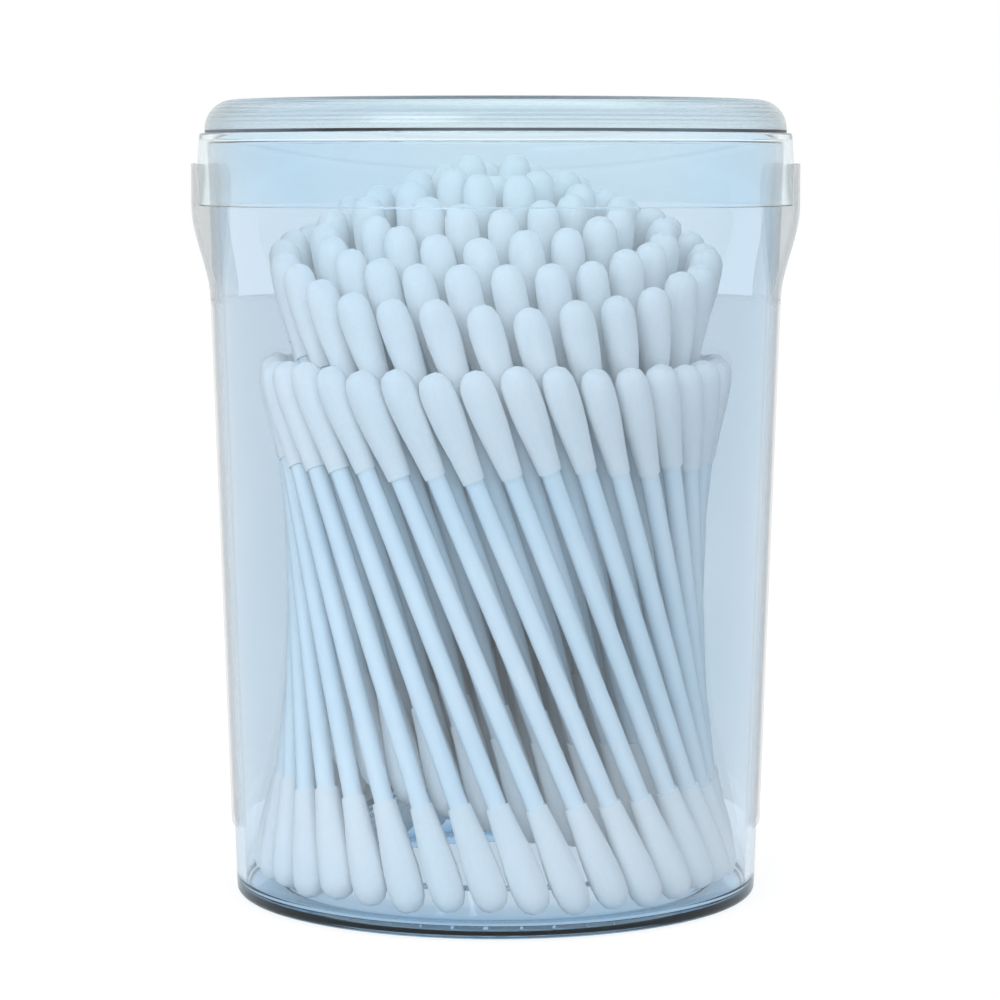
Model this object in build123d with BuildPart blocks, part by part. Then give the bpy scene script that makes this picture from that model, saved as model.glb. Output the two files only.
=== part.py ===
from build123d import *

import os
from math import asin, atan, cos, degrees, pi, radians, sin, sqrt, tan
from random import Random

# A clear moulded drum of cotton swabs with a snap lid and a wrap label.
# Millimetres, +Z up, origin on the table under the middle of the drum, clear front towards -Y.

# Drum: a tapered cup with a floor that steps up inside the outer row and rises to the middle
drum_height = 101.0
drum_base_radius = 35.2
rim_overhang = 3.4
drum_wall = 1.2
drum_floor = 1.5
base_edge_radius = 0.8
floor_corner_radius = 1.0
step_angle = 60.0
step_height = 4.3
step_room = 0.6
cone_angle = 33.0
cone_top_radius = 3.0

# Snap bead round the outside of the drum, under the rim
bead_drop = 2.2
bead_height = 1.6
bead_depth = 0.42
bead_land = 0.5

# Lid: a ledge that sits on the rim, a flared skirt and a raised top with a soft edge
lid_plate = 1.0
lid_seat_gap = 0.2
rim_clearance = 0.24
skirt_wall = 0.8
skirt_height = 9.6
skirt_flare = 0.65
crown_inset = 0.75
crown_height = 4.4
crown_edge_radius = 3.8
ledge_edge_radius = 0.3
snap_clearance = 0.15
snap_height = 1.2
snap_drop = 1.0

# Label: one film sheet round the back of the drum, with a seal tab at each end
label_film = 0.25
label_gap = 0.15
label_bottom = 9.7
label_drop = 12.6
label_past_side = 16.0
tab_angle = 31.0
tab_overlap = 5.6
tab_bend_drop = 0.1
tab_clearance = 0.2
tab_corner_radius = 3.0

# Swab: a plastic stem with a wound cotton bud on each end, drawn six-sided
swab_head_room = 26.0
stem_diameter = 2.5
bud_length = 14.5
bud_diameter = 4.7
bud_end_diameter = 2.7
bud_neck_diameter = 2.9
bud_end_length = 3.8
swab_sides = 6

# Bundle: rows of swabs, all turned the same way, the inner ones standing higher and spread
# further out towards the back
bundle_twist = 56.0
outer_bud_room = 0.22
inner_bud_room = 0.3
row_room = 0.05
nest_room = 2.15
wall_room = 0.6
seat_gap = 0.25
outer_row_lean_in = 1.0
inner_spread_ratio = 1.12
back_spread_ratio = 0.07
back_rise_ratio = 0.29
outer_row_play = 0.9
inner_row_play = 1.1
side_play = 0.05


drum_rim_radius = drum_base_radius + rim_overhang


def drum_radius(height):
    """Outer radius of the drum's wall at a height above the table."""
    return drum_base_radius + rim_overhang * height / drum_height


# The outer row of swabs stands against the wall, and the floor steps up just inside it.
outer_row_radius = drum_radius(drum_floor) - drum_wall - wall_room - bud_diameter / 2
step_foot_radius = outer_row_radius - bud_diameter / 2 - step_room
step_top_radius = step_foot_radius - step_height / tan(radians(step_angle))
cone_height = step_height + (step_top_radius - cone_top_radius) * tan(radians(cone_angle))


def floor_corner(radius, height, outer_slope, inner_slope):
    """Corner of the floor's upper side over a corner of its underside, a floor's thickness away."""
    mean_slope = radians(outer_slope + inner_slope) / 2
    reach = drum_floor / cos(radians(outer_slope - inner_slope) / 2)
    return radius + reach * sin(mean_slope), height + reach * cos(mean_slope)


floor_corners = [
    floor_corner(step_foot_radius, 0, 0, step_angle),
    floor_corner(step_top_radius, step_height, step_angle, cone_angle),
    floor_corner(cone_top_radius, cone_height, cone_angle, 0),
]

bead_top = drum_height - bead_drop
bead_bottom = bead_top - bead_height
bead_middle = (bead_top + bead_bottom) / 2
bead_radius = drum_radius(bead_middle) + bead_depth

with BuildPart() as drum:
    with BuildSketch(Plane.XZ) as drum_section:
        with BuildLine():
            Polyline(
                (0, cone_height),
                (cone_top_radius, cone_height),
                (step_top_radius, step_height),
                (step_foot_radius, 0),
                (drum_base_radius, 0),
                (drum_radius(bead_bottom), bead_bottom),
                (bead_radius, bead_middle - bead_land / 2),
                (bead_radius, bead_middle + bead_land / 2),
                (drum_radius(bead_top), bead_top),
                (drum_rim_radius, drum_height),
                (drum_rim_radius - drum_wall, drum_height),
                (drum_radius(drum_floor) - drum_wall, drum_floor),
                *floor_corners,
                (0, cone_height + drum_floor),
                close=True,
            )
        make_face()
        base_edge = drum_section.vertices().sort_by_distance((drum_base_radius, 0))[0]
        fillet(base_edge, base_edge_radius)
        inner_corner = (drum_radius(drum_floor) - drum_wall, drum_floor)
        fillet(drum_section.vertices().sort_by_distance(inner_corner)[0], floor_corner_radius)
    revolve(axis=Axis.Z)
drum.part.label = "drum"

ledge_underside = drum_height + lid_seat_gap
ledge_top = ledge_underside + lid_plate
crown_top = ledge_top + crown_height
skirt_bottom = ledge_top - skirt_height
skirt_top_radius = drum_rim_radius + rim_clearance + skirt_wall
skirt_bottom_radius = skirt_top_radius + skirt_flare
crown_radius = skirt_top_radius - crown_inset
snap_radius = bead_radius + snap_clearance
snap_top = bead_bottom - snap_drop
snap_bottom = snap_top - snap_height


def skirt_inner_radius(height):
    """Inner radius of the lid's flared skirt at a height above the table."""
    return skirt_top_radius - skirt_wall + skirt_flare * (ledge_top - height) / skirt_height


with BuildPart() as lid:
    with BuildSketch(Plane.XZ) as lid_section:
        with BuildLine():
            Polyline(
                (0, crown_top),
                (crown_radius, crown_top),
                (crown_radius, ledge_top),
                (skirt_top_radius, ledge_top),
                (skirt_bottom_radius, skirt_bottom),
                (skirt_inner_radius(skirt_bottom), skirt_bottom),
                (skirt_inner_radius(snap_bottom), snap_bottom),
                (snap_radius, (snap_bottom + snap_top) / 2),
                (skirt_inner_radius(snap_top), snap_top),
                (skirt_inner_radius(ledge_underside), ledge_underside),
                (crown_radius - lid_plate, ledge_underside),
                (crown_radius - lid_plate, crown_top - lid_plate),
                (0, crown_top - lid_plate),
                close=True,
            )
        make_face()
        crown_edge = lid_section.vertices().sort_by_distance((crown_radius, crown_top))[0]
        fillet(crown_edge, crown_edge_radius)
        crown_inside = (crown_radius - lid_plate, crown_top - lid_plate)
        inside_edge = lid_section.vertices().sort_by_distance(crown_inside)[0]
        fillet(inside_edge, crown_edge_radius - lid_plate)
        ledge_edge = lid_section.vertices().sort_by_distance((skirt_top_radius, ledge_top))[0]
        fillet(ledge_edge, ledge_edge_radius)
    revolve(axis=Axis.Z)
lid.part.label = "lid"

# The sheet follows the wall, and its tabs bridge out over the lid's skirt with room for it to lift.
label_top = skirt_bottom - label_drop
tab_bend_top = skirt_bottom - tab_bend_drop
tab_top = skirt_bottom + tab_overlap
film_offset = label_gap + label_film / 2
tab_radius = skirt_bottom_radius + tab_clearance + label_film / 2
wall_lean = rim_overhang / drum_height
label_wrap = 180 + 2 * label_past_side
label_start = Plane.XZ.rotated((0, 0, -label_past_side))
left_tab_start = Plane.XZ.rotated((0, 0, 180 + label_past_side - tab_angle))

with BuildPart() as label:
    with BuildSketch(label_start):
        with BuildLine():
            Line(
                (drum_radius(label_bottom) + film_offset, label_bottom),
                (drum_radius(label_top) + film_offset, label_top),
            )
        trace(line_width=label_film)
    revolve(axis=Axis.Z, revolution_arc=label_wrap)
    for tab_start in (label_start, left_tab_start):
        with BuildSketch(tab_start):
            with BuildLine():
                bridge = Spline(
                    (drum_radius(label_top) + film_offset, label_top),
                    (tab_radius, tab_bend_top),
                    tangents=[(wall_lean, 1), (0, 1)],
                )
                Line(bridge @ 1, (tab_radius, tab_top))
            trace(line_width=label_film)
        revolve(axis=Axis.Z, revolution_arc=tab_angle)
    tab_corners = label.edges().filter_by(GeomType.LINE).group_by(Axis.Z)[-1]
    fillet(tab_corners, tab_corner_radius)
label.part.label = "label"

# One stem and one bud, each standing on its lower end. The drum's height sets how long a swab is.
swab_length = drum_height - swab_head_room
stem_length = swab_length - 2 * bud_length
flat_share = cos(pi / swab_sides)
end_taper = degrees(atan(flat_share * (bud_diameter - bud_end_diameter) / 2 / bud_end_length))
neck_length = bud_length - bud_end_length
neck_taper = degrees(atan(flat_share * (bud_diameter - bud_neck_diameter) / 2 / neck_length))

with BuildPart() as stem:
    with BuildSketch(Plane.XY.offset(bud_length)):
        RegularPolygon(stem_diameter / 2, swab_sides)
    extrude(amount=stem_length)

bud_belly = Plane.XY.offset(bud_end_length)

with BuildPart() as bud:
    with BuildSketch(bud_belly):
        RegularPolygon(bud_diameter / 2, swab_sides)
    extrude(amount=bud_end_length, taper=end_taper)
    mirror(about=bud_belly, mode=Mode.REPLACE)
    with BuildSketch(bud_belly):
        RegularPolygon(bud_diameter / 2, swab_sides)
    extrude(amount=neck_length, taper=neck_taper)


def floor_height(radius):
    """Height of the floor's upper side at a radius."""
    height = drum_floor
    for (outer, low), (inner, high) in zip(floor_corners, floor_corners[1:]):
        height += (high - low) * min(1, max(0, (outer - radius) / (outer - inner)))
    return height


def row_axes(row_radius, spread, more_at_back, room, play, rise, chance):
    """Bottom and top point of each swab's axis in one row of the bundle."""
    twist = radians(bundle_twist)
    widest = row_radius * (spread + 2 * more_at_back)
    chord = sqrt(row_radius**2 + widest**2 - 2 * row_radius * widest * cos(twist))
    lean = asin(chord / swab_length)
    spacing = (bud_diameter + room) / cos(lean)
    count = max(1, int(2 * pi * row_radius / spacing))
    seat = floor_height(row_radius - bud_end_diameter / 2) + seat_gap
    seat += bud_end_diameter / 2 * sin(lean)
    axes = []
    for place in range(count):
        turn = 2 * pi * place / count
        reach = max(row_radius, bud_diameter)
        low_turn = turn + chance.uniform(-side_play, side_play) / reach
        high_turn = turn - twist + chance.uniform(-side_play, side_play) / reach
        to_back = 1 + sin(high_turn)
        top_radius = row_radius * (spread + more_at_back * to_back)
        low = Vector(row_radius * cos(low_turn), row_radius * sin(low_turn))
        high = Vector(top_radius * cos(high_turn), top_radius * sin(high_turn))
        height = seat + chance.uniform(0, play) + rise * row_radius * to_back
        climb = sqrt(swab_length**2 - (high - low).length ** 2)
        axes.append((low + Vector(0, 0, height), high + Vector(0, 0, height + climb)))
    return axes


def swab_plane(start, end):
    """Plane at one end of a swab, facing along it, with a corner of its section towards its neighbour."""
    outward = Vector(start.X + end.X, start.Y + end.Y)
    sideways = (end - start).cross(outward) if outward.length else Vector(1, 0)
    return Plane(start, x_dir=sideways, z_dir=end - start)


chance = Random(6)
second_row_radius = outer_row_radius - bud_diameter - nest_room
inner_rows = int(second_row_radius / (bud_diameter + row_room))
row_pitch = second_row_radius / inner_rows
outer_spread = 1 - outer_row_lean_in / outer_row_radius
bundle = [row_axes(outer_row_radius, outer_spread, 0, outer_bud_room, outer_row_play, 0, chance)]
for step in range(inner_rows, -1, -1):
    radius = step * row_pitch
    spreads = (inner_spread_ratio, back_spread_ratio)
    bundle.append(row_axes(radius, *spreads, inner_bud_room, inner_row_play, back_rise_ratio, chance))

stem_rows = []
bud_rows = []
for number, axes in enumerate(reversed(bundle), start=1):
    upright = [swab_plane(low, high) for low, high in axes]
    turned = [swab_plane(high, low) for low, high in axes]
    with BuildPart() as stem_row:
        with Locations(*upright):
            add(stem.part)
    stem_row.part.label = f"swab_stems_row_{number}"
    stem_rows.append(stem_row.part)
    with BuildPart() as bud_row:
        with Locations(*upright, *turned):
            add(bud.part)
    bud_row.part.label = f"cotton_buds_row_{number}"
    bud_rows.append(bud_row.part)

os.makedirs("parts", exist_ok=True)
for piece in [drum.part, lid.part, label.part, *stem_rows, *bud_rows]:
    export_step(piece, f"parts/{piece.label}.step")
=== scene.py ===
import math

import bmesh
import bpy
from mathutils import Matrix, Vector


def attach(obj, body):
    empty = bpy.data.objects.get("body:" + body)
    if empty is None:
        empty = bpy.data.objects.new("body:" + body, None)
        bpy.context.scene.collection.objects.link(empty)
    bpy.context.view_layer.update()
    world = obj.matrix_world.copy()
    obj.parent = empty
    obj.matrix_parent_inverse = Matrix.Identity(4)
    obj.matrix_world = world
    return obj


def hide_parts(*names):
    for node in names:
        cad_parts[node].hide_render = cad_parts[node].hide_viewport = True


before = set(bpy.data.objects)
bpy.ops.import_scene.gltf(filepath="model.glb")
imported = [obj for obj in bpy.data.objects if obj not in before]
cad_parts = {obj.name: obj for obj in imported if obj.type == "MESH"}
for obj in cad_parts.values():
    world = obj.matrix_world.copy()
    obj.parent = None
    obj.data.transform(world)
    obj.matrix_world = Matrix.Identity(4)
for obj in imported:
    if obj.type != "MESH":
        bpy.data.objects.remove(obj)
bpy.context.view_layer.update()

# The drum: a tapered cup injection-moulded in one shot from clear, pale blue plastic.
# It stands on a ring, its floor rises to a cone in the middle, and its rim fits into the lid's skirt.
drum_height = 0.101
drum_base_radius = 0.0352
drum_rim_radius = 0.0386
drum_wall = 0.0012
drum_floor = 0.0015
drum_base_edge = 0.0008
drum_floor_corner = 0.001
drum_rim_edge = 0.0003
step_foot_radius = 0.0281
step_height = 0.0043
step_angle = math.radians(60)
cone_top_radius = 0.003
cone_angle = math.radians(33)
floor_edge = 0.0008
drum_pale = (0.90, 0.942, 0.975)
drum_deep = (0.875, 0.93, 0.97)
base_tint_start = 0.0032
base_tint_full = 0.0022
base_shade = (0.82, 0.885, 0.93)
turn_steps = 160
crease_angle = math.radians(40)
hold_distance = 0.00004
least_held_wall = 10 * hold_distance


def drum_radius(height):
    """Outer radius of the drum's wall at a height above the table."""
    return drum_base_radius + (drum_rim_radius - drum_base_radius) * height / drum_height


def soft_outline(corners, arc_steps=6):
    """Closed section outline of (radius, height) points, each corner rounded by its own radius.

    Points beside the roundings hold the straight walls between them flat in the shading.
    """
    points = []
    for place, (radius, height, rounding) in enumerate(corners):
        corner = Vector((radius, height))
        if not rounding:
            points.append(corner)
            continue
        to_last = (Vector(corners[place - 1][:2]) - corner).normalized()
        to_next = (Vector(corners[(place + 1) % len(corners)][:2]) - corner).normalized()
        half_angle = to_last.angle(to_next) / 2
        centre = corner + (to_last + to_next).normalized() * (rounding / math.sin(half_angle))
        start = corner + to_last * (rounding / math.tan(half_angle)) - centre
        end = corner + to_next * (rounding / math.tan(half_angle)) - centre
        for step in range(arc_steps + 1):
            points.append(centre + start.lerp(end, step / arc_steps).normalized() * rounding)
    held = []
    for point, following in zip(points, points[1:] + points[:1]):
        held.append(point)
        if (following - point).length > least_held_wall:
            way = (following - point).normalized() * hold_distance
            held += [point + way, following - way]
    return held


def new_piece(name, data):
    """An object for a mesh, a lamp or a camera, put into the scene."""
    piece = bpy.data.objects.new(name, data)
    bpy.context.collection.objects.link(piece)
    return piece


def turned_piece(name, outline):
    """A smooth closed piece made by turning a section outline round the Z axis."""
    shape = bmesh.new()
    turns = [2 * math.pi * step / turn_steps for step in range(turn_steps)]
    rings = []
    for point in outline:
        on_axis = point.x < 1e-6
        ring = [(math.cos(turn), math.sin(turn)) for turn in ([0] if on_axis else turns)]
        rings.append([shape.verts.new((point.x * x, point.x * y, point.y)) for x, y in ring])
    for ring, next_ring in zip(rings, rings[1:] + rings[:1]):
        for step in range(turn_steps):
            following = (step + 1) % turn_steps
            quad = [ring[step % len(ring)], ring[following % len(ring)]]
            quad += [next_ring[following % len(next_ring)], next_ring[step % len(next_ring)]]
            corners = list(dict.fromkeys(quad))
            if len(corners) > 2:
                shape.faces.new(corners)
    bmesh.ops.recalc_face_normals(shape, faces=shape.faces)
    mesh = bpy.data.meshes.new(name)
    shape.to_mesh(mesh)
    shape.free()
    mesh.shade_smooth()
    mesh.set_sharp_from_angle(angle=crease_angle)
    return new_piece(name, mesh)


def mottled(name, grain, detail, deep, pale, ramp=(0.3, 0.7)):
    """A material whose tint drifts between two shades, with its nodes and links."""
    material = bpy.data.materials.new(name)
    material.use_nodes = True
    nodes = material.node_tree.nodes
    links = material.node_tree.links
    place = nodes.new("ShaderNodeTexCoord")
    noise = nodes.new("ShaderNodeTexNoise")
    noise.inputs["Scale"].default_value = grain
    noise.inputs["Detail"].default_value = detail
    links.new(place.outputs["Object"], noise.inputs["Vector"])
    tint = nodes.new("ShaderNodeValToRGB")
    for stop, position, shade in zip(tint.color_ramp.elements, ramp, (deep, pale)):
        stop.position = position
        stop.color = (*shade, 1)
    links.new(noise.outputs["Fac"], tint.inputs["Fac"])
    links.new(tint.outputs["Color"], nodes["Principled BSDF"].inputs["Base Color"])
    return material, nodes, links


def by_height(nodes, links, start, end, at_start=0, at_end=1):
    """A value of a mottled material that changes between two heights above the table."""
    place = nodes.new("ShaderNodeSeparateXYZ")
    links.new(nodes["Texture Coordinate"].outputs["Object"], place.inputs["Vector"])
    change = nodes.new("ShaderNodeMapRange")
    change.inputs["From Min"].default_value = start
    change.inputs["From Max"].default_value = end
    change.inputs["To Min"].default_value = at_start
    change.inputs["To Max"].default_value = at_end
    links.new(place.outputs["Z"], change.inputs["Value"])
    return change.outputs["Result"]


def clear_plastic(name, deep, pale):
    """Clear moulded plastic that lamps shine through, with cloudy flow marks in its tint."""
    material, nodes, links = mottled(name, 45, 0, deep, pale)
    nodes.remove(nodes["Principled BSDF"])
    tint = nodes["Color Ramp"].outputs["Color"]
    body = nodes.new("ShaderNodeBsdfGlass")
    body.inputs["Roughness"].default_value = 0
    body.inputs["IOR"].default_value = 1.49
    links.new(tint, body.inputs["Color"])
    open_to_lamps = nodes.new("ShaderNodeBsdfTransparent")
    links.new(tint, open_to_lamps.inputs["Color"])
    path = nodes.new("ShaderNodeLightPath")
    choice = nodes.new("ShaderNodeMixShader")
    links.new(path.outputs["Is Shadow Ray"], choice.inputs["Fac"])
    links.new(body.outputs["BSDF"], choice.inputs[1])
    links.new(open_to_lamps.outputs["BSDF"], choice.inputs[2])
    links.new(choice.outputs["Shader"], nodes["Material Output"].inputs["Surface"])
    return material


def deeper_past(material, start, end, shade, haze=0):
    """Deepens a clear plastic's tint, and its haze, from one height on to another."""
    nodes = material.node_tree.nodes
    links = material.node_tree.links
    tint = nodes["Color Ramp"].outputs["Color"]
    deeper = nodes.new("ShaderNodeMix")
    deeper.data_type = "RGBA"
    deeper.blend_type = "MULTIPLY"
    deeper.inputs["B"].default_value = (*shade, 1)
    for link in list(tint.links):
        links.new(deeper.outputs["Result"], link.to_socket)
    links.new(by_height(nodes, links, start, end), deeper.inputs["Factor"])
    links.new(tint, deeper.inputs["A"])
    if haze:
        cloudy = by_height(nodes, links, start, end, at_end=haze)
        links.new(cloudy, nodes["Glass BSDF"].inputs["Roughness"])


def floor_corner(radius, height, outer_slope, inner_slope):
    """Corner of the floor's upper side over a corner of its underside, a floor's thickness away."""
    mean_slope = (outer_slope + inner_slope) / 2
    reach = drum_floor / math.cos((outer_slope - inner_slope) / 2)
    return radius + reach * math.sin(mean_slope), height + reach * math.cos(mean_slope), floor_edge


step_top_radius = step_foot_radius - step_height / math.tan(step_angle)
cone_height = step_height + (step_top_radius - cone_top_radius) * math.tan(cone_angle)
drum_outline = soft_outline([
    (0, cone_height, 0),
    (cone_top_radius, cone_height, floor_edge),
    (step_top_radius, step_height, floor_edge),
    (step_foot_radius, 0, floor_edge),
    (drum_base_radius, 0, drum_base_edge),
    (drum_rim_radius, drum_height, drum_rim_edge),
    (drum_rim_radius - drum_wall, drum_height, drum_rim_edge),
    (drum_radius(drum_floor) - drum_wall, drum_floor, drum_floor_corner),
    floor_corner(step_foot_radius, 0, 0, step_angle),
    floor_corner(step_top_radius, step_height, step_angle, cone_angle),
    floor_corner(cone_top_radius, cone_height, cone_angle, 0),
    (0, cone_height + drum_floor, 0),
])
drum_shell = turned_piece("drum_shell", drum_outline)
drum_plastic = clear_plastic("drum_plastic_clear", drum_deep, drum_pale)
deeper_past(drum_plastic, base_tint_start, base_tint_full, base_shade)
drum_shell.data.materials.append(drum_plastic)
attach(drum_shell, "drum")
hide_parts("drum")

# The swabs' stems: extruded pale plastic tubes, cut to one length, that stand twisted in the drum.
# Each one follows the axis of its own solid, and its ends are hidden in the cotton.
stem_radius = 0.00125
stem_sides = 10
stem_into_bud = 0.003
stem_deep = (0.82, 0.905, 0.96)
stem_pale = (0.88, 0.945, 0.985)


def swab_axes():
    """Lower and upper end of every stem, read from the stems' solids."""
    axes = []
    for name, node in sorted(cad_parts.items()):
        if not name.startswith("swab_stems"):
            continue
        shape = bmesh.new()
        shape.from_mesh(node.data)
        bmesh.ops.remove_doubles(shape, verts=shape.verts, dist=1e-6)
        found = set()
        for first in shape.verts:
            if first in found:
                continue
            found.add(first)
            stem = [first]
            for corner in stem:
                for edge in corner.link_edges:
                    other = edge.other_vert(corner)
                    if other not in found:
                        found.add(other)
                        stem.append(other)
            stem.sort(key=lambda corner: corner.co.z)
            half = len(stem) // 2
            low = sum((corner.co for corner in stem[:half]), Vector()) / half
            high = sum((corner.co for corner in stem[half:]), Vector()) / (len(stem) - half)
            axes.append((low, high))
        shape.free()
    return axes


def points_along(name, places, directions):
    """A mesh of loose points, each with the direction that its copy of a piece points in."""
    mesh = bpy.data.meshes.new(name)
    mesh.from_pydata([tuple(place) for place in places], [], [])
    along = mesh.attributes.new("along", "FLOAT_VECTOR", "POINT")
    along.data.foreach_set("vector", [value for way in directions for value in way])
    return new_piece(name, mesh)


def new_tree(name, inputs):
    """An empty Geometry Nodes tree with a geometry in and out, and named inputs."""
    tree = bpy.data.node_groups.new(name, "GeometryNodeTree")
    tree.is_modifier = True
    tree.interface.new_socket("Geometry", in_out="INPUT", socket_type="NodeSocketGeometry")
    for label, kind in inputs.items():
        tree.interface.new_socket(label, in_out="INPUT", socket_type=kind)
    tree.interface.new_socket("Geometry", in_out="OUTPUT", socket_type="NodeSocketGeometry")
    return tree, tree.nodes.new("NodeGroupInput"), tree.nodes.new("NodeGroupOutput")


def add_node(tree, kind, settings=None, **inputs):
    """A node of a tree, with its inputs linked to sockets or set to values.

    An input goes by its name, with _ for a space, or by its place, as n0 or n1.
    """
    node = tree.nodes.new(kind)
    for name, value in (settings or {}).items():
        setattr(node, name, value)
    for name, value in inputs.items():
        if name[1:].isdigit():
            socket = node.inputs[int(name[1:])]
        else:
            socket = next(s for s in node.inputs if s.enabled and s.name.replace(" ", "_") == name)
        if isinstance(value, bpy.types.NodeSocket):
            tree.links.new(value, socket)
        else:
            socket.default_value = value
    return node


def worked_out(tree, operation, first, second):
    """The result of a sum on two values or sockets of a tree."""
    return add_node(tree, "ShaderNodeMath", {"operation": operation}, n0=first, n1=second).outputs[0]


def set_on_points(tree, given, piece, **more):
    """Sets a piece on every given point, along the point's direction, as real faces."""
    along = add_node(
        tree, "GeometryNodeInputNamedAttribute", {"data_type": "FLOAT_VECTOR"}, Name="along"
    )
    turned = add_node(
        tree, "FunctionNodeAlignRotationToVector", {"axis": "Z"}, Vector=along.outputs[0]
    )
    placed = add_node(
        tree,
        "GeometryNodeInstanceOnPoints",
        Points=given.outputs["Geometry"],
        Instance=piece,
        Rotation=turned.outputs[0],
        **more,
    )
    return add_node(tree, "GeometryNodeRealizeInstances", Geometry=placed.outputs[0]).outputs[0]


def finish_tree(tree, given, result, geometry):
    """Ends a tree with smooth shading and the given finish."""
    smooth = add_node(tree, "GeometryNodeSetShadeSmooth", Geometry=geometry)
    finished = add_node(
        tree, "GeometryNodeSetMaterial", Geometry=smooth.outputs[0], Material=given.outputs["Finish"]
    )
    tree.links.new(finished.outputs[0], result.inputs[0])
    return tree


def grow(piece, tree, values):
    """Runs a tree on a piece and leaves the result as the piece's plain mesh."""
    modifier = piece.modifiers.new(tree.name, "NODES")
    modifier.node_group = tree
    for item in tree.interface.items_tree:
        if item.in_out == "INPUT" and item.name in values:
            modifier[item.identifier] = values[item.name]
    ready = piece.evaluated_get(bpy.context.evaluated_depsgraph_get())
    mesh = bpy.data.meshes.new_from_object(ready)
    piece.modifiers.clear()
    piece.data = mesh
    mesh.name = piece.name


def stem_tree():
    """Sets a closed round stem on every point, along the point's direction."""
    tree, given, result = new_tree("stems_on_points", {
        "Radius": "NodeSocketFloat",
        "Length": "NodeSocketFloat",
        "Sides": "NodeSocketInt",
        "Finish": "NodeSocketMaterial",
    })
    half = worked_out(tree, "MULTIPLY", given.outputs["Length"], 0.5)
    back = worked_out(tree, "MULTIPLY", half, -1.0)
    low = add_node(tree, "ShaderNodeCombineXYZ", Z=back)
    high = add_node(tree, "ShaderNodeCombineXYZ", Z=half)
    line = add_node(tree, "GeometryNodeCurvePrimitiveLine", Start=low.outputs[0], End=high.outputs[0])
    ring = add_node(
        tree,
        "GeometryNodeCurvePrimitiveCircle",
        Resolution=given.outputs["Sides"],
        Radius=given.outputs["Radius"],
    )
    stem = add_node(
        tree,
        "GeometryNodeCurveToMesh",
        Curve=line.outputs[0],
        Profile_Curve=ring.outputs[0],
        Fill_Caps=True,
    )
    return finish_tree(tree, given, result, set_on_points(tree, given, stem.outputs[0]))


def uneven_gloss(nodes, links, least, most):
    """Lets a mottled material's roughness drift between two values, with its tint."""
    rough = nodes.new("ShaderNodeMapRange")
    rough.inputs["To Min"].default_value = least
    rough.inputs["To Max"].default_value = most
    links.new(nodes["Noise Texture"].outputs["Fac"], rough.inputs["Value"])
    links.new(rough.outputs["Result"], nodes["Principled BSDF"].inputs["Roughness"])


def stem_plastic():
    """Satin extruded tube, pale blue, a little uneven along its length."""
    material, nodes, links = mottled("stem_plastic_satin", 90, 4, stem_deep, stem_pale)
    uneven_gloss(nodes, links, 0.38, 0.55)
    return material


axes = swab_axes()
middles = [(low + high) / 2 for low, high in axes]
upward = [(high - low).normalized() for low, high in axes]
bare_length = (axes[0][1] - axes[0][0]).length
swab_stems = points_along("swab_stems", middles, upward)
grow(swab_stems, stem_tree(), {
    "Radius": stem_radius,
    "Length": bare_length + 2 * stem_into_bud,
    "Sides": stem_sides,
    "Finish": stem_plastic(),
})
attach(swab_stems, "drum")
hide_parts(*[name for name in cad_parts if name.startswith("swab_stems")])

# The cotton buds: white cotton wound on both ends of every stem, pressed into a teardrop.
# The wound fibre stops with a small step on the stem, and no two buds are quite alike.
bud_length = 0.0145
bud_radius = 0.00228
bud_tip_width = 0.34
bud_foot_width = 0.66
bud_widths = [(0.035, 0.7), (0.1, 0.91), (0.2, 1.0), (0.34, 1.0), (0.55, 0.92), (0.8, 0.76)]
bud_least = (0.95, 0.95, 0.97)
bud_most = (1.04, 1.04, 1.02)
bud_sides = 12
bud_rings = 8
rings_to_tip = 1.7
bud_lump = 0.00016
lump_grain = 300.0
bud_seed = 7
cotton_deep = (0.89, 0.90, 0.905)
cotton_pale = (0.95, 0.953, 0.955)


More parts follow.
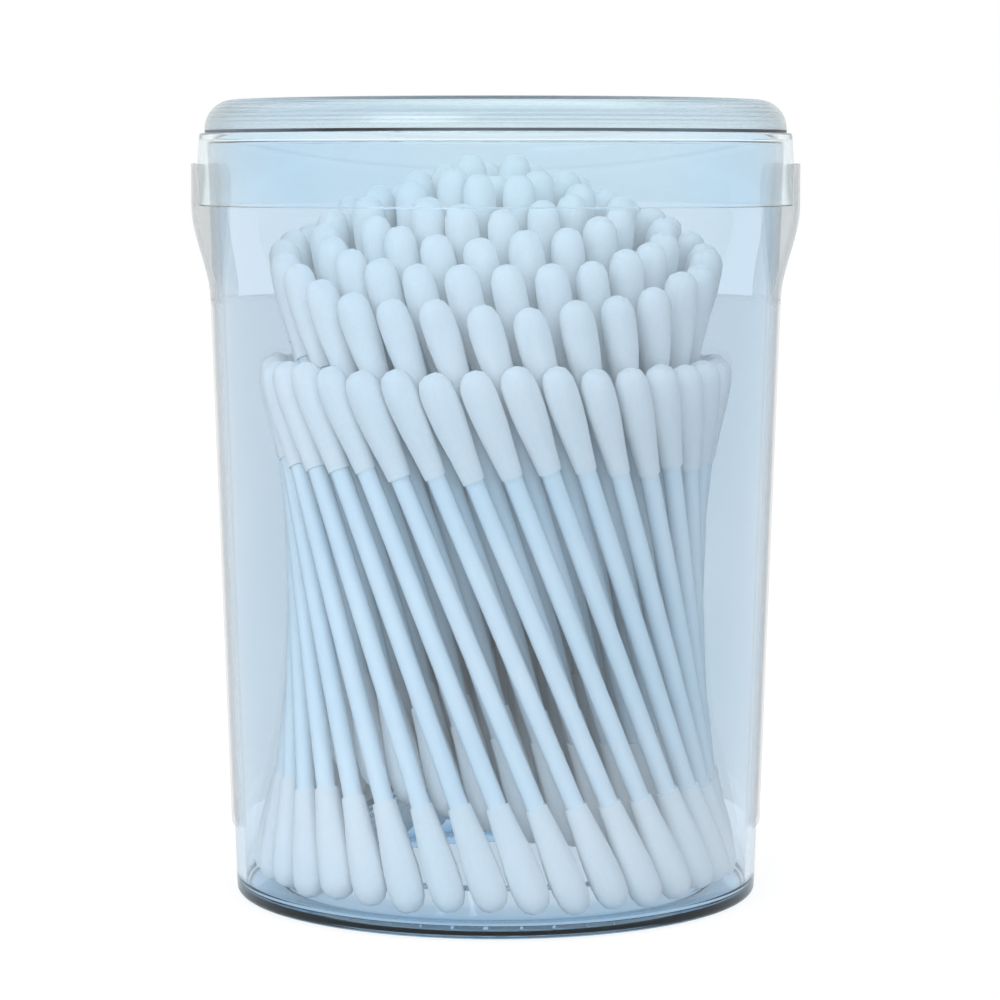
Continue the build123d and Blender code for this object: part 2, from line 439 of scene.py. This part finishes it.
def bud_tree():
    """Sets a wound cotton bud on every point, along the point's direction, each a little different."""
    tree, given, result = new_tree("buds_on_points", {
        "Radius": "NodeSocketFloat",
        "Length": "NodeSocketFloat",
        "Sides": "NodeSocketInt",
        "Rings": "NodeSocketInt",
        "Lump": "NodeSocketFloat",
        "Seed": "NodeSocketInt",
        "Finish": "NodeSocketMaterial",
    })
    row = add_node(tree, "GeometryNodeMeshLine", Count=given.outputs["Rings"])
    number = add_node(tree, "GeometryNodeInputIndex")
    last = worked_out(tree, "SUBTRACT", given.outputs["Rings"], 1.0)
    share = worked_out(tree, "DIVIDE", number.outputs[0], last)
    bunched = worked_out(tree, "POWER", share, rings_to_tip)
    rise = worked_out(tree, "MULTIPLY", bunched, given.outputs["Length"])
    place = add_node(tree, "ShaderNodeCombineXYZ", Z=rise)
    spread = add_node(
        tree, "GeometryNodeSetPosition", Geometry=row.outputs[0], Position=place.outputs[0]
    )
    spine = add_node(tree, "GeometryNodeMeshToCurve", Mesh=spread.outputs[0])
    teardrop = add_node(tree, "ShaderNodeFloatCurve", Value=bunched)
    knots = teardrop.mapping.curves[0].points
    knots[0].location = (0, bud_tip_width)
    knots[1].location = (1, bud_foot_width)
    for along, width in bud_widths:
        knots.new(along, width)
    teardrop.mapping.update()
    ring = add_node(
        tree, "GeometryNodeCurvePrimitiveCircle", Resolution=given.outputs["Sides"], Radius=1.0
    )
    bud = add_node(
        tree,
        "GeometryNodeCurveToMesh",
        Curve=spine.outputs[0],
        Profile_Curve=ring.outputs[0],
        Scale=worked_out(tree, "MULTIPLY", teardrop.outputs[0], given.outputs["Radius"]),
        Fill_Caps=True,
    )
    size = add_node(
        tree,
        "FunctionNodeRandomValue",
        {"data_type": "FLOAT_VECTOR"},
        n0=bud_least,
        n1=bud_most,
        Seed=given.outputs["Seed"],
    )
    whole = set_on_points(tree, given, bud.outputs[0], Scale=size.outputs[0])
    lumps = add_node(tree, "ShaderNodeTexNoise", Scale=lump_grain, Detail=1.0)
    even = worked_out(tree, "SUBTRACT", lumps.outputs[0], 0.5)
    outward = add_node(tree, "GeometryNodeInputNormal")
    push = add_node(
        tree,
        "ShaderNodeVectorMath",
        {"operation": "SCALE"},
        n0=outward.outputs[0],
        Scale=worked_out(tree, "MULTIPLY", even, given.outputs["Lump"]),
    )
    wound = add_node(tree, "GeometryNodeSetPosition", Geometry=whole, Offset=push.outputs[0])
    return finish_tree(tree, given, result, wound.outputs[0])


def wound_cotton():
    """White wound cotton: soft and matt, with fine fibre."""
    material, nodes, links = mottled("cotton_wound", 2600, 5, cotton_deep, cotton_pale)
    uneven_gloss(nodes, links, 0.85, 1.0)
    body = nodes["Principled BSDF"]
    body.inputs["Sheen Weight"].default_value = 0.3
    body.inputs["Sheen Roughness"].default_value = 0.6
    body.inputs["Specular IOR Level"].default_value = 0.15
    fibre = nodes["Noise Texture"]
    fibre.inputs["Roughness"].default_value = 0.65
    bump = nodes.new("ShaderNodeBump")
    bump.inputs["Strength"].default_value = 0.25
    bump.inputs["Distance"].default_value = 0.0002
    links.new(fibre.outputs["Fac"], bump.inputs["Height"])
    links.new(bump.outputs["Normal"], body.inputs["Normal"])
    return material


tips = [low - way * bud_length for (low, high), way in zip(axes, upward)]
tips += [high + way * bud_length for (low, high), way in zip(axes, upward)]
inward = upward + [-way for way in upward]
cotton_buds = points_along("cotton_buds", tips, inward)
grow(cotton_buds, bud_tree(), {
    "Radius": bud_radius,
    "Length": bud_length,
    "Sides": bud_sides,
    "Rings": bud_rings,
    "Lump": bud_lump,
    "Seed": bud_seed,
    "Finish": wound_cotton(),
})
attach(cotton_buds, "drum")
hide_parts(*[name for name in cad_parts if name.startswith("cotton_buds")])

# The lid: moulded from the same clear plastic, with a paler skirt and a hazier raised crown.
# Its ledge rests on the rim, its skirt flares over the wall, and its crown has a soft edge.
# A dark band painted round the crown's foot is a painted shadow line in its corner with the ledge.
lid_plate = 0.001
ledge_clearance = 0.0002
ledge_width = 0.00075
ledge_edge = 0.0003
crown_rise = 0.0044
crown_edge = 0.0038
crown_arc_steps = 10
skirt_wall = 0.0008
skirt_clearance = 0.00024
skirt_height = 0.0096
skirt_flare = 0.00065
skirt_rim_edge = 0.0002
# painted shadow: the height of the dark band painted on the crown's foot, above the ledge
shadow_band_height = 0.00038
lid_pale = (0.97, 0.995, 1.0)
lid_deep = (0.955, 0.985, 1.0)
tint_blend = 0.0002
crown_shade = (0.97, 0.99, 1.0)
crown_haze = 0.18
# painted shade: the crown's top face, down to this depth, is tinted darker than the rest of the lid
crown_top_depth = 0.0008
crown_top_painted_shade = (0.87, 0.925, 0.965)
# painted shadow: the two shades of the dark band painted on the crown's foot
painted_shadow_dark = (0.015, 0.02, 0.03)
painted_shadow_light = (0.12, 0.16, 0.2)
ledge_underside = drum_height + ledge_clearance
ledge_top = ledge_underside + lid_plate
crown_top = ledge_top + crown_rise
skirt_bottom = ledge_top - skirt_height
skirt_top_radius = drum_rim_radius + skirt_clearance + skirt_wall
skirt_bottom_radius = skirt_top_radius + skirt_flare
crown_radius = skirt_top_radius - ledge_width


def skirt_inner_radius(height):
    """Inner radius of the lid's flared skirt at a height above the table."""
    return skirt_top_radius - skirt_wall + skirt_flare / skirt_height * (ledge_top - height)


def painted_shadow_band():
    """A painted shadow line: a dark finish for a band on the crown's foot, in the corner between the
    crown and the ledge, uneven round the lid.
    """
    material, nodes, links = mottled("lid_groove_shade", 40, 1, painted_shadow_dark, painted_shadow_light, (0.35, 0.65))
    nodes["Principled BSDF"].inputs["Roughness"].default_value = 0.5
    return material


lid_outline = soft_outline([
    (0, crown_top, 0),
    (crown_radius, crown_top, crown_edge),
    (crown_radius, ledge_top + shadow_band_height, 0),
    (crown_radius, ledge_top, 0),
    (skirt_top_radius, ledge_top, ledge_edge),
    (skirt_bottom_radius, skirt_bottom, skirt_rim_edge),
    (skirt_inner_radius(skirt_bottom), skirt_bottom, skirt_rim_edge),
    (skirt_inner_radius(ledge_underside), ledge_underside, 0),
    (crown_radius - lid_plate, ledge_underside, 0),
    (crown_radius - lid_plate, crown_top - lid_plate, crown_edge - lid_plate),
    (0, crown_top - lid_plate, 0),
], crown_arc_steps)
lid_shell = turned_piece("lid_shell", lid_outline)
lid_plastic = clear_plastic("lid_plastic_clear", lid_deep, lid_pale)
deeper_past(lid_plastic, ledge_top - tint_blend, ledge_top + tint_blend, crown_shade, crown_haze)
# painted shade: darkens the tint of the crown's top face
deeper_past(lid_plastic, crown_top - crown_top_depth, crown_top - tint_blend, crown_top_painted_shade)
lid_shell.data.materials.append(lid_plastic)
lid_shell.data.materials.append(painted_shadow_band())
# painted shadow: the faces of the band on the crown's foot get the dark finish
for face in lid_shell.data.polygons:
    on_shadow_band = 0 < face.center.z - ledge_top < shadow_band_height
    if on_shadow_band and math.hypot(*face.center[:2]) > crown_radius - lid_plate / 2:
        face.material_index = 1
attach(lid_shell, "lid")
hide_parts("lid")

# The label: one die-cut sheet of milky film stuck round the back of the drum.
# A seal tab at each end, of denser film, reaches up over the lid's skirt.
label_film = 0.00025
glue_gap = 0.00015
label_offset = glue_gap + label_film / 2
label_bottom = 0.0097
label_top = 0.08
label_past_side = math.radians(16)
label_columns = 106
label_rows = 36
tab_angle = math.radians(31)
tab_top = 0.0982
tab_bend_top = 0.0925
tab_clearance = 0.0002
tab_radius = skirt_bottom_radius + tab_clearance + label_film / 2
tab_corner = 0.003
tab_rows = 24
film_deep = (0.93, 0.93, 0.92)
film_pale = (0.97, 0.97, 0.96)
film_glow = 0.6
label_clearness = 0.78
tab_clearness = 0.4
clear_up_to = label_top - 0.001
dense_from = label_top + 0.004


def film_radius(height):
    """Radius of the film's middle at a height: on the wall, then bridging out over the skirt."""
    if height <= label_top:
        return drum_radius(height) + label_offset
    share = min((height - label_top) / (tab_bend_top - label_top), 1)
    ease = share * share * (3 - 2 * share)
    return (1 - ease) * (drum_radius(label_top) + label_offset) + ease * tab_radius


def film_strip(shape, start, sweep, heights, columns):
    """Adds a curved strip of film between two angles, narrowed at a tab's rounded top corners."""
    rows = []
    for height in heights:
        short = max(0, height - (tab_top - tab_corner))
        inset = tab_corner - math.sqrt(max(0, tab_corner**2 - short**2))
        radius = film_radius(height)
        trim = inset / radius
        row = []
        for column in range(columns + 1):
            turn = start + trim + (sweep - 2 * trim) * column / columns
            row.append(shape.verts.new((radius * math.cos(turn), radius * math.sin(turn), height)))
        rows.append(row)
    for low, high in zip(rows, rows[1:]):
        for column in range(columns):
            shape.faces.new((low[column], low[column + 1], high[column + 1], high[column]))


def milky_film():
    """Milky film that glows with the light behind it, clearer on the wall than on the tabs."""
    material, nodes, links = mottled("label_film_milky", 120, 4, film_deep, film_pale)
    uneven_gloss(nodes, links, 0.4, 0.6)
    glow = nodes.new("ShaderNodeBsdfTranslucent")
    links.new(nodes["Color Ramp"].outputs["Color"], glow.inputs["Color"])
    milky = nodes.new("ShaderNodeMixShader")
    milky.inputs["Fac"].default_value = film_glow
    links.new(nodes["Principled BSDF"].outputs["BSDF"], milky.inputs[1])
    links.new(glow.outputs["BSDF"], milky.inputs[2])
    clear = nodes.new("ShaderNodeBsdfTransparent")
    thin = nodes.new("ShaderNodeMixShader")
    clearness = by_height(nodes, links, clear_up_to, dense_from, label_clearness, tab_clearness)
    links.new(clearness, thin.inputs["Fac"])
    links.new(milky.outputs["Shader"], thin.inputs[1])
    links.new(clear.outputs["BSDF"], thin.inputs[2])
    links.new(thin.outputs["Shader"], nodes["Material Output"].inputs["Surface"])
    return material


film = bmesh.new()
label_sweep = math.pi + 2 * label_past_side
wall_step = (label_top - label_bottom) / label_rows
wall_heights = [label_bottom + wall_step * row for row in range(label_rows + 1)]
film_strip(film, -label_past_side, label_sweep, wall_heights, label_columns)
tab_columns = round(label_columns * tab_angle / label_sweep)
tab_shares = [math.sin(math.pi / 2 * row / tab_rows) for row in range(tab_rows + 1)]
tab_heights = [label_top + (tab_top - label_top) * share for share in tab_shares]
for tab_start in (-label_past_side, math.pi + label_past_side - tab_angle):
    film_strip(film, tab_start, tab_angle, tab_heights, tab_columns)
bmesh.ops.remove_doubles(film, verts=film.verts, dist=1e-5)
bmesh.ops.recalc_face_normals(film, faces=film.faces)
film_mesh = bpy.data.meshes.new("label_sheet")
film.to_mesh(film_mesh)
film.free()
film_mesh.shade_smooth()
film_mesh.materials.append(milky_film())
label_sheet = new_piece("label_sheet", film_mesh)
thickness = label_sheet.modifiers.new("film_thickness", "SOLIDIFY")
thickness.thickness = label_film
thickness.offset = 0
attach(label_sheet, "drum")
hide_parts("label")

# The studio: a white floor that keeps a faint shadow, a white surround and soft lamps.
# The camera stands where the photograph was taken from, just under the height of the rim.
floor_drop = 0.0002
floor_reach = 6.0
floor_shade = 0.7
floor_shade_seen = 0.2
floor_glow_seen = 0.81


def studio_white():
    """A matt white that looks as white as the surround, but throws back less light than it shows."""
    material = bpy.data.materials.new("studio_floor_white")
    material.use_nodes = True
    nodes = material.node_tree.nodes
    links = material.node_tree.links
    path = nodes.new("ShaderNodeLightPath")
    seen = path.outputs["Is Camera Ray"]
    for ray in ("Is Transmission Ray", "Is Glossy Ray"):
        either = nodes.new("ShaderNodeMath")
        either.operation = "MAXIMUM"
        links.new(seen, either.inputs[0])
        links.new(path.outputs[ray], either.inputs[1])
        seen = either.outputs["Value"]
    body = nodes["Principled BSDF"]
    body.inputs["Roughness"].default_value = 0.9
    body.inputs["Specular IOR Level"].default_value = 0
    glow = nodes.new("ShaderNodeEmission")
    for socket, unseen_value, seen_value in [
        (body.inputs["Base Color"], floor_shade, floor_shade_seen),
        (glow.inputs["Strength"], 0, floor_glow_seen),
    ]:
        change = nodes.new("ShaderNodeMapRange")
        change.inputs["To Min"].default_value = unseen_value
        change.inputs["To Max"].default_value = seen_value
        links.new(seen, change.inputs["Value"])
        links.new(change.outputs["Result"], socket)
    both = nodes.new("ShaderNodeAddShader")
    links.new(body.outputs["BSDF"], both.inputs[0])
    links.new(glow.outputs["Emission"], both.inputs[1])
    links.new(both.outputs["Shader"], nodes["Material Output"].inputs["Surface"])
    return material


floor_mesh = bpy.data.meshes.new("studio_floor")
floor_sides = [(-1, -1), (1, -1), (1, 1), (-1, 1)]
floor_corners = [(x * floor_reach, y * floor_reach, -floor_drop) for x, y in floor_sides]
floor_mesh.from_pydata(floor_corners, [], [(0, 1, 2, 3)])
floor_mesh.materials.append(studio_white())
floor = new_piece("studio_floor", floor_mesh)

surround = bpy.data.worlds.new("studio_surround")
surround.use_nodes = True
surround.node_tree.nodes["Background"].inputs["Color"].default_value = (1, 1, 1, 1)
bpy.context.scene.world = surround

bundle_middle = Vector((0, 0, 0.05))


def soft_lamp(name, place, size, power):
    """A square soft box that points at the middle of the bundle."""
    light = bpy.data.lights.new(name, "AREA")
    light.size = size
    light.energy = power
    lamp = new_piece(name, light)
    lamp.location = place
    lamp.rotation_euler = (bundle_middle - Vector(place)).to_track_quat("-Z", "Y").to_euler()
    return lamp


soft_lamp("key_softbox", (-0.45, -0.7, 0.6), size=0.6, power=2.5)
soft_lamp("top_softbox", (0.1, 0.05, 0.9), size=0.7, power=1.0)
front_fill = soft_lamp("front_softbox", (0.15, -0.95, 0.3), size=0.5, power=2.1)
front_fill.visible_glossy = False
front_fill.visible_transmission = False

camera_distance = 0.47807
camera_height = 0.0981
camera_pitch = math.radians(5.41)
camera_focal = 3546.9
image_size = 1000
axis_in_image = 495.7
lens_sensor = 36.0
camera_data = bpy.data.cameras.new("photo_camera")
camera_data.sensor_width = lens_sensor
camera_data.lens = camera_focal / image_size * lens_sensor
camera_data.shift_x = 0.5 - axis_in_image / image_size
camera_data.clip_start = 0.01
camera = new_piece("photo_camera", camera_data)
camera.location = (0, -camera_distance, camera_height)
camera.rotation_euler = (math.pi / 2 - camera_pitch, 0, 0)
bpy.context.scene.camera = camera
bpy.context.scene.view_settings.view_transform = "Standard"
